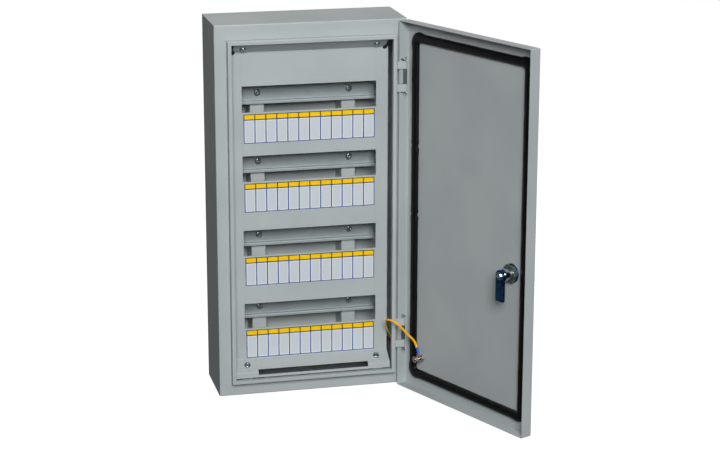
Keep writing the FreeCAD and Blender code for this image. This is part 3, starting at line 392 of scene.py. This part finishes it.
def zinc_steel():
    """Bright zinc plate on screws, nuts and pins: cool and cloudy."""
    look = Look("zinc_steel")
    cloud = look.noise(420.0, detail=4.0, roughness=0.6)
    tone = look.mix(cloud, linear(150, 168, 176), linear(196, 204, 206))
    look.set(Base_Color=tone, Metallic=1.0, Roughness=look.between(cloud, 0.2, 0.34, 0.3, 0.7))
    look.relief((cloud, 0.00004), edge=0.0002)
    return look.material


def dull_zinc():
    """Cloudy grey zinc on the large lock nut."""
    look = Look("dull_zinc")
    cloud = look.noise(260.0, detail=4.0, roughness=0.6)
    tone = look.mix(cloud, linear(96, 104, 100), linear(138, 146, 142))
    look.set(Base_Color=tone, Metallic=0.9, Roughness=look.between(cloud, 0.42, 0.56, 0.3, 0.7))
    look.relief((cloud, 0.00004), edge=0.0004)
    return look.material


def blue_zinc():
    """Blue-passivated zinc in darker and paler clouds."""
    look = Look("blue_zinc")
    cloud = look.noise(130.0, detail=4.0)
    share = look.between(cloud, 0.0, 1.0, 0.35, 0.65)
    tone = look.mix(share, linear(22, 62, 128), linear(58, 108, 156))
    look.set(Base_Color=tone, Metallic=1.0, Roughness=look.between(cloud, 0.24, 0.38))
    look.relief((look.noise(1500.0), 0.00002), edge=0.0003)
    return look.material


def lock_chrome():
    """Chromed die casting with a trace of polish swirl."""
    look = Look("lock_chrome")
    swirl = look.noise(300.0, detail=3.0)
    tone = look.mix(swirl, linear(205, 207, 210), linear(224, 225, 226))
    look.set(Base_Color=tone, Metallic=1.0, Roughness=look.between(swirl, 0.08, 0.18))
    look.relief((swirl, 0.00001), edge=0.0003)
    return look.material


def black_foam():
    """Foamed polyurethane: near black skin with small pores."""
    look = Look("black_foam")
    cells = look.node("ShaderNodeTexVoronoi", {"Vector": look.place, "Scale": 900.0})
    pores = cells.outputs["Distance"]
    skin = look.noise(120.0, detail=4.0)
    tone = look.mix(skin, linear(4, 4, 5), linear(9, 9, 10))
    look.set(Base_Color=tone, Roughness=look.between(skin, 0.3, 0.46), Specular_IOR_Level=0.3)
    look.relief((pores, 0.00010), (skin, 0.0004))
    return look.material


def grey_rubber():
    """Moulded grey rubber with a dusty bloom."""
    look = Look("grey_rubber")
    bloom = look.noise(90.0, detail=5.0)
    tone = look.mix(bloom, linear(84, 86, 88), linear(112, 113, 113))
    look.set(Base_Color=tone, Roughness=look.between(bloom, 0.55, 0.75))
    look.relief((look.noise(1200.0), 0.00004))
    return look.material


def brass():
    """Drawn brass bar with lengthwise lines."""
    look = Look("brass")
    lines = look.noise(700.0, detail=3.0, stretch=(0.02, 1, 1))
    tone = look.mix(lines, linear(206, 164, 84), linear(228, 190, 108))
    look.set(Base_Color=tone, Metallic=1.0, Roughness=look.between(lines, 0.22, 0.38))
    look.relief((lines, 0.00002), edge=0.0002)
    return look.material


def plastic(name, dark, light, roughness):
    """Moulded plastic with a fine spark texture."""
    look = Look(name)
    cloud = look.noise(200.0, detail=3.0)
    tone = look.mix(cloud, dark, light)
    look.set(Base_Color=tone, Roughness=look.between(cloud, roughness, roughness + 0.12))
    look.relief((look.noise(2500.0), 0.00003))
    return look.material


def copper_plate():
    """Copper-plated steel with darker tarnish."""
    look = Look("copper_plate")
    tarnish = look.noise(400.0, detail=4.0)
    share = look.between(tarnish, 0.0, 1.0, 0.4, 0.7)
    tone = look.mix(share, linear(232, 140, 108), linear(176, 92, 66))
    look.set(Base_Color=tone, Metallic=1.0, Roughness=look.between(tarnish, 0.22, 0.4))
    look.relief((tarnish, 0.00003))
    return look.material


def tinned_copper():
    """Dull tin plate."""
    look = Look("tinned_copper")
    cloud = look.noise(300.0, detail=4.0)
    tone = look.mix(cloud, linear(188, 190, 190), linear(214, 214, 210))
    look.set(Base_Color=tone, Metallic=1.0, Roughness=look.between(cloud, 0.3, 0.45))
    look.relief((cloud, 0.00003), edge=0.0002)
    return look.material


GREEN_MIDDLE = 0.2                      # shares of the way round the wire
GREEN_HALF = 0.15
GREEN_WAVER = 0.015


def wire_insulation():
    """Yellow PVC with one green stripe along it."""
    look = Look("wire_insulation")
    round_wire = look.node("ShaderNodeUVMap", uv_map="sweep").outputs[0]
    split = look.node("ShaderNodeSeparateXYZ", {"Vector": round_wire})
    ripple = look.between(look.noise(150.0), -GREEN_WAVER, GREEN_WAVER)
    away = look.math("SUBTRACT", look.math("ADD", split.outputs[0], ripple), GREEN_MIDDLE)
    stripe = look.math("LESS_THAN", look.math("ABSOLUTE", away), GREEN_HALF)
    shade = look.noise(90.0)
    yellow = look.mix(shade, linear(255, 182, 0), linear(255, 190, 4))
    tone = look.mix(stripe, yellow, linear(0, 92, 30))
    look.set(Base_Color=tone, Roughness=0.42, Specular_IOR_Level=0.25)
    look.relief((look.noise(900.0), 0.00002))
    return look.material


HEADING_HEIGHT = 9.0                    # of the coloured band at the top of a strip
RULE_HALF = 0.85                        # half of a printed line's width
PRINT_EDGE = 0.3                        # middle of the outer lines from the strip's edges
MARGIN = (2.0, 3.2)                     # from a line: where the paler margin begins to fade and ends


def label_film(name, row):
    """Printed strip: yellow headings over pale fields, ruled in blue."""
    look = Look(name)
    split = look.node("ShaderNodeSeparateXYZ", {"Vector": look.place})
    across = look.math("ADD", look.math("DIVIDE", split.outputs[0], MM), LABEL_HALF)
    down = look.math("SUBTRACT", row + LABEL_TOP, look.math("DIVIDE", split.outputs[2], MM))
    from_rule = look.math("PINGPONG", across, MODULE_PITCH / 2)
    from_heading = look.math("ABSOLUTE", look.math("SUBTRACT", down, HEADING_HEIGHT))
    from_top = look.math("SUBTRACT", down, PRINT_EDGE)
    from_foot = look.math("SUBTRACT", LABEL_HEIGHT - PRINT_EDGE, down)
    from_ends = look.math("MINIMUM", look.math("ABSOLUTE", from_top), look.math("ABSOLUTE", from_foot))
    nearest = look.math("MINIMUM", from_rule, look.math("MINIMUM", from_heading, from_ends))
    ink = look.math("LESS_THAN", nearest, RULE_HALF)
    in_heading = look.math("LESS_THAN", down, HEADING_HEIGHT)
    margin = look.between(nearest, 1.0, 0.0, *MARGIN)
    paper = look.noise(500.0, detail=2.0)
    field = look.mix(paper, linear(202, 207, 213), linear(208, 212, 219))
    field = look.mix(margin, field, linear(222, 224, 218))
    yellow = look.mix(paper, linear(255, 200, 0), linear(255, 206, 4))
    ground = look.mix(in_heading, field, yellow)
    ruling = look.mix(in_heading, linear(40, 72, 166), linear(44, 40, 26))
    look.set(Base_Color=look.mix(ink, ground, ruling), Roughness=0.5, Specular_IOR_Level=0.25)
    look.relief((paper, 0.00002), (ink, 0.00002))
    return look.material


def make_looks():
    """Every material by its slot name."""
    return {
        "powder_coat": powder_coat("powder_coat"),
        "zinc_steel": zinc_steel(),
        "rail_steel": rail_steel(),
        "dull_zinc": dull_zinc(),
        "knuckle_darkened_leaf": powder_coat("knuckle_darkened_leaf", darker_knuckle=True),
        "blue_zinc": blue_zinc(),
        "lock_chrome": lock_chrome(),
        "black_foam": black_foam(),
        "grey_rubber": grey_rubber(),
        "brass": brass(),
        "blue_plastic": plastic("blue_plastic", linear(0, 60, 170), linear(12, 80, 190), 0.3),
        "green_plastic": plastic("green_plastic", linear(16, 96, 52), linear(28, 116, 66), 0.34),
        "copper_plate": copper_plate(),
        "tinned_copper": tinned_copper(),
        "wire_insulation": wire_insulation(),
    }


def paint_cad_nodes(looks):
    """Give every CAD node its look: the record's slot says which, apart from a few nodes."""
    for part in frame["record"]["subparts"]:
        node = part["node"]
        slot = part["material_slot"]
        if slot == "label_film":
            material = label_film(node, ROWS[int(node[-1]) - 1])
        elif node.startswith("din_rail"):
            material = looks["rail_steel"]
        elif node.startswith("rail_support"):
            material = looks["powder_coat"]
        elif node == "lock_nut":
            material = looks["dull_zinc"]
        elif node.startswith("hinge_leaf"):
            material = looks["knuckle_darkened_leaf"]
        else:
            material = looks[slot]
        mesh = frame["nodes"][node].data
        mesh.materials.clear()
        mesh.materials.append(material)


# ---------------------------------------------------------------- earth wire
def make_wire(looks):
    """Earth wire as a tube round the line of its route, bending between the shell and the door."""
    line = smooth_line([metres(point) for point in WIRE_POINTS])
    section = round_section(WIRE_DIAMETER / 2 * MM)
    wire = sweep("earth_wire_insulation", line, section, sides=20, up=(1, 0, 0))
    wire.data.materials.append(looks["wire_insulation"])
    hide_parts("earth_wire")
    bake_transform(wire)


# ---------------------------------------------------------------- door gasket
ARC_STEPS = 8                           # pieces of line in a corner
SIDE_STEP = 5.0                         # millimetres between points along a side
CORNER_SWELL = 4.2                      # how much further the foam spreads outwards at a corner
CORNER_REACH = 10.0
JOINTS = (104.0, -11.0)                 # heights of the joints on the hinge side
JOINT_SWELL = 2.6                       # how much wider the band is round a joint
JOINT_PINCH = 6.4                       # how much narrower it is in the notch of a joint
JOINT_REACH = 5.0
WIDTH_WAVER = 0.7                       # uneven spread of the foam: long waves, then short ones
WIDTH_RIPPLE = 0.3
HEIGHT_WAVER = 0.3
DOME_POWER = 0.62                       # below 1, the dome is flatter on top than a circle
SIDE_POWER = 0.8


def gasket_line():
    """Middle line of the gasket on the shut door, and how far along it the corners and joints are."""
    inner = GASKET_HALF - GASKET_CORNER
    low, high = GASKET_LOW + GASKET_CORNER, GASKET_HIGH - GASKET_CORNER
    turns = [((inner, low), -90), ((inner, high), 0), ((-inner, high), 90), ((-inner, low), 180)]
    arcs = []
    for (x, z), start in turns:
        arc = []
        for step in range(ARC_STEPS + 1):
            angle = math.radians(start + 90 * step / ARC_STEPS)
            arc.append((x + GASKET_CORNER * math.cos(angle), z + GASKET_CORNER * math.sin(angle)))
        arcs.append(arc)
    line = []
    for arc, after in zip(arcs, arcs[1:] + arcs[:1]):
        line += arc
        (x0, z0), (x1, z1) = arc[-1], after[0]
        pieces = max(2, round(math.hypot(x1 - x0, z1 - z0) / SIDE_STEP))
        for k in range(1, pieces):
            line.append((x0 + (x1 - x0) * k / pieces, z0 + (z1 - z0) * k / pieces))
    side = high - low
    across = 2 * inner
    bend = math.pi * GASKET_CORNER / 2
    corners = [bend / 2, 1.5 * bend + side, 2.5 * bend + side + across, 3.5 * bend + 2 * side + across]
    joints = [bend + height - low for height in JOINTS]
    return [metres((x, DOOR_INSIDE, z)) for x, z in line], corners, joints


def bell(away):
    """Bell curve: 1 in its middle and near 0 from a distance of 2 on."""
    return math.exp(-away ** 2)


def waver(along, waves, track):
    """Uneven number from -1 to 1 at a place along the band; each track has its own run of numbers."""
    return noise.noise(Vector((along * waves, track, 0.0)))


def band_width(along, joints):
    """Width of the band at a distance along it, in millimetres."""
    width = GASKET_WIDTH + WIDTH_WAVER * waver(along, 0.035, 3.0)
    width += WIDTH_RIPPLE * waver(along, 0.2, 7.0)
    for joint in joints:
        away = (along - joint) / JOINT_REACH
        width += JOINT_SWELL * bell(away / 2) - JOINT_PINCH * bell(away * 2.5)
    return width


def make_gasket(looks):
    """Foamed gasket: a low dome, wider at its corners, with the marks of two joints."""
    line, corners, joints = gasket_line()

    def section(distance, angle):
        along = distance / MM
        half = band_width(along, joints) / 2
        height = GASKET_HEIGHT - HEIGHT_WAVER + HEIGHT_WAVER * waver(along, 0.06, 11.0)
        across = math.cos(angle)
        if across > 0:
            half += sum(CORNER_SWELL * bell((along - corner) / CORNER_REACH) for corner in corners)
        dome = max(0.0, math.sin(angle)) ** DOME_POWER
        return half * MM * math.copysign(abs(across) ** SIDE_POWER, across), height * MM * dome

    gasket = sweep("foam_gasket", line, section, sides=28, closed=True, up=(0, 1, 0), sharp=70.0)
    place_piece(gasket, "door", looks, "black_foam", "door_gasket", door_turn())


# ---------------------------------------------------------------- earth studs and sleeves
THREAD_TURNS = 18                       # of about 1 mm each
THREAD_DEPTH = 0.45
THREAD_SIDES = 24                       # points in a ring
RINGS_A_TURN = 4
THREAD_START = 0.2                      # first ring of the thread above the foot
TIP_HEIGHT = 0.6                        # chamfer at the stud's end
TIP_DEPTH = 0.7
FOOT_EDGE = 0.8                         # share of the foot's height that is straight

SLEEVE_RADIUS = 2.4
SLEEVE_STEPS = 20
CRIMPS = (0.3, 0.68)                    # shares of the way along the sleeve
CRIMP_REACH = 0.11
CRIMP_WIDER = 0.15
CRIMP_THINNER = 0.45
MOUTH_START = 0.85                      # share of the way along where the sleeve begins to flare
MOUTH_FLARE = 0.25


def aim(direction, roll_to):
    """Rotation that takes +Z to one direction and +X to another, square to it."""
    ahead = Vector(direction).normalized()
    side = Vector(roll_to).normalized()
    return Matrix((side, ahead.cross(side), ahead)).transposed().to_4x4()


def stud_ring(height, radius_at):
    """Points of one ring round +Z; radius_at(share) is the radius at a share of the way round."""
    points = []
    for step in range(THREAD_SIDES):
        angle = 2 * math.pi * step / THREAD_SIDES
        radius = radius_at(step / THREAD_SIDES)
        points.append((radius * math.cos(angle), radius * math.sin(angle), height))
    return points


def thread_radius(turn, share):
    """Radius of the thread after a number of turns, at a share of the way round."""
    return STUD_RADIUS - THREAD_DEPTH * abs(((turn - share) % 1.0) * 2 - 1)


def threaded_stud(name):
    """Welded stud along +Z: a flat foot, a thread all the way and a chamfered end."""
    foot_radius, foot_height = STUD_FOOT
    low = foot_height + THREAD_START
    high = STUD_LENGTH - TIP_HEIGHT
    count = THREAD_TURNS * RINGS_A_TURN
    vertices = stud_ring(0.0, lambda share: foot_radius)
    vertices += stud_ring(foot_height * FOOT_EDGE, lambda share: foot_radius)
    vertices += stud_ring(foot_height, lambda share: STUD_RADIUS)
    for ring in range(count + 1):
        turn = ring / RINGS_A_TURN
        vertices += stud_ring(low + (high - low) * ring / count, lambda share: thread_radius(turn, share))
    vertices += stud_ring(STUD_LENGTH, lambda share: STUD_RADIUS - TIP_DEPTH)
    faces = skin_faces(len(vertices) // THREAD_SIDES, THREAD_SIDES, closed=False)
    return add_mesh(name, [metres(vertex) for vertex in vertices], faces, sharp=50.0)


def crimped_sleeve(name):
    """Insulating sleeve along +X from the lug's neck, oval where the tool has crimped it."""
    def section(distance, angle):
        share = distance / MM / SLEEVE_LENGTH
        flat = sum(bell((share - crimp) / CRIMP_REACH) for crimp in CRIMPS)
        mouth = MOUTH_FLARE * max(0.0, share - MOUTH_START) / (1.0 - MOUTH_START)
        wide = SLEEVE_RADIUS + CRIMP_WIDER * flat + mouth
        thin = SLEEVE_RADIUS - CRIMP_THINNER * flat + mouth
        return wide * MM * math.cos(angle), thin * MM * math.sin(angle)

    start = metres((LUG_NECK, 0.0, LUG_ALONG_STUD))
    step = metres((SLEEVE_LENGTH / SLEEVE_STEPS, 0.0, 0.0))
    line = [start + step * k for k in range(SLEEVE_STEPS + 1)]
    return sweep(name, line, section, sides=24)


def make_earth_fittings(looks):
    """Studs and sleeves of both earth points."""
    points = [
        ("door", "door", DOOR_STUD, (0, 1, 0), DOOR_NECK, door_turn()),
        ("shell", "cabinet", SHELL_STUD, (-1, 0, 0), SHELL_NECK, Matrix.Identity(4)),
    ]
    for end, body, foot, direction, neck, turn in points:
        place = turn @ Matrix.Translation(metres(foot)) @ aim(direction, neck)
        stud = threaded_stud(end + "_threaded_stud")
        place_piece(stud, body, looks, "copper_plate", end + "_earth_stud", place)
        sleeve = crimped_sleeve(end + "_crimped_sleeve")
        place_piece(sleeve, body, looks, "blue_plastic", end + "_lug_sleeve", place)


# ---------------------------------------------------------------- floor and light
FLOOR_GAP = 0.001                       # lengths in this section are in metres
FLOOR_HALF = 15.0
FLOOR_GLOW = 0.93


def make_floor():
    """Wide pale floor just under the object, bright enough to show white."""
    height = CAD_BOX[0].z - FLOOR_GAP
    signs = [(-1, -1), (1, -1), (1, 1), (-1, 1)]
    corners = [(x * FLOOR_HALF, y * FLOOR_HALF, height) for x, y in signs]
    floor = add_mesh("floor", corners, [(0, 1, 2, 3)])
    look = Look("floor")
    tone = look.mix(look.noise(3.0), linear(150, 150, 150), linear(156, 156, 156))
    look.set(Base_Color=tone, Roughness=0.9, Emission_Color=(1, 1, 1, 1), Emission_Strength=FLOOR_GLOW)
    floor.data.materials.append(look.material)
    floor.visible_diffuse = False
    floor.visible_glossy = False


def add_area(name, place, target, size, energy, colour):
    """Soft light that faces a target point."""
    data = bpy.data.lights.new(name, "AREA")
    data.shape = "RECTANGLE"
    data.size, data.size_y = size
    data.energy = energy
    data.color = colour
    light = bpy.data.objects.new(name, data)
    light.location = place
    light.rotation_euler = (Vector(target) - Vector(place)).to_track_quat("-Z", "Y").to_euler()
    bpy.context.scene.collection.objects.link(light)


KEY_TARGET = (0.0, -0.15, 0.0)
KEY_AWAY = 6.0                          # from the target to the key light
KEY_LEFT = 8.0                          # degrees to the left of the front
KEY_UP = 26.0                           # degrees above the horizon
KEY_SIZE = (2.1, 2.1)
KEY_ENERGY = 335.0                      # watts
KEY_COLOUR = (0.95, 0.99, 1.0)
OVERHEAD_PLACE = (-0.2, 0.5, 2.6)
OVERHEAD_TARGET = (0.0, 0.0, 0.3)
OVERHEAD_SIZE = (0.9, 0.7)
OVERHEAD_ENERGY = 27.0
OVERHEAD_COLOUR = (1.0, 0.99, 0.98)
AMBIENT_ABOVE = 0.06                    # strength of the surround over the horizon and under it
AMBIENT_BELOW = 0.10
HORIZON_BAND = 0.2                      # the strength changes between this far under and over it


def make_lamps():
    """Key light from the front and a lamp over the top."""
    left = math.radians(KEY_LEFT)
    up = math.radians(KEY_UP)
    level = KEY_AWAY * math.cos(up)
    ahead = KEY_TARGET[1] - level * math.cos(left)
    key = (-level * math.sin(left), ahead, KEY_AWAY * math.sin(up))
    add_area("key", key, KEY_TARGET, KEY_SIZE, KEY_ENERGY, KEY_COLOUR)
    add_area("overhead", OVERHEAD_PLACE, OVERHEAD_TARGET, OVERHEAD_SIZE, OVERHEAD_ENERGY, OVERHEAD_COLOUR)


def make_surround():
    """White backdrop that lights the object with a weak glow only."""
    world = bpy.data.worlds.new("surround")
    world.use_nodes = True
    tree = world.node_tree
    shown = tree.nodes.new("ShaderNodeBackground")
    shown.inputs["Color"].default_value = (1.0, 1.0, 1.0, 1.0)
    shown.inputs["Strength"].default_value = 1.0
    lit = tree.nodes["Background"]
    lit.inputs["Color"].default_value = (1.0, 1.0, 0.99, 1.0)
    place = tree.nodes.new("ShaderNodeTexCoord")
    split = tree.nodes.new("ShaderNodeSeparateXYZ")
    rise = tree.nodes.new("ShaderNodeMapRange")
    rise.inputs["From Min"].default_value = -HORIZON_BAND
    rise.inputs["From Max"].default_value = HORIZON_BAND
    rise.inputs["To Min"].default_value = AMBIENT_BELOW
    rise.inputs["To Max"].default_value = AMBIENT_ABOVE
    tree.links.new(place.outputs["Generated"], split.inputs[0])
    tree.links.new(split.outputs[2], rise.inputs[0])
    tree.links.new(rise.outputs[0], lit.inputs["Strength"])
    seen = tree.nodes.new("ShaderNodeLightPath")
    mixer = tree.nodes.new("ShaderNodeMixShader")
    tree.links.new(seen.outputs["Is Camera Ray"], mixer.inputs[0])
    tree.links.new(lit.outputs[0], mixer.inputs[1])
    tree.links.new(shown.outputs[0], mixer.inputs[2])
    tree.links.new(mixer.outputs[0], tree.nodes["World Output"].inputs["Surface"])
    bpy.context.scene.world = world
    bpy.context.scene.view_settings.view_transform = "Standard"


# ---------------------------------------------------------------- the scene
make_camera()
LOOKS = make_looks()
make_wire(LOOKS)
make_gasket(LOOKS)
make_earth_fittings(LOOKS)
paint_cad_nodes(LOOKS)
make_floor()
make_lamps()
make_surround()
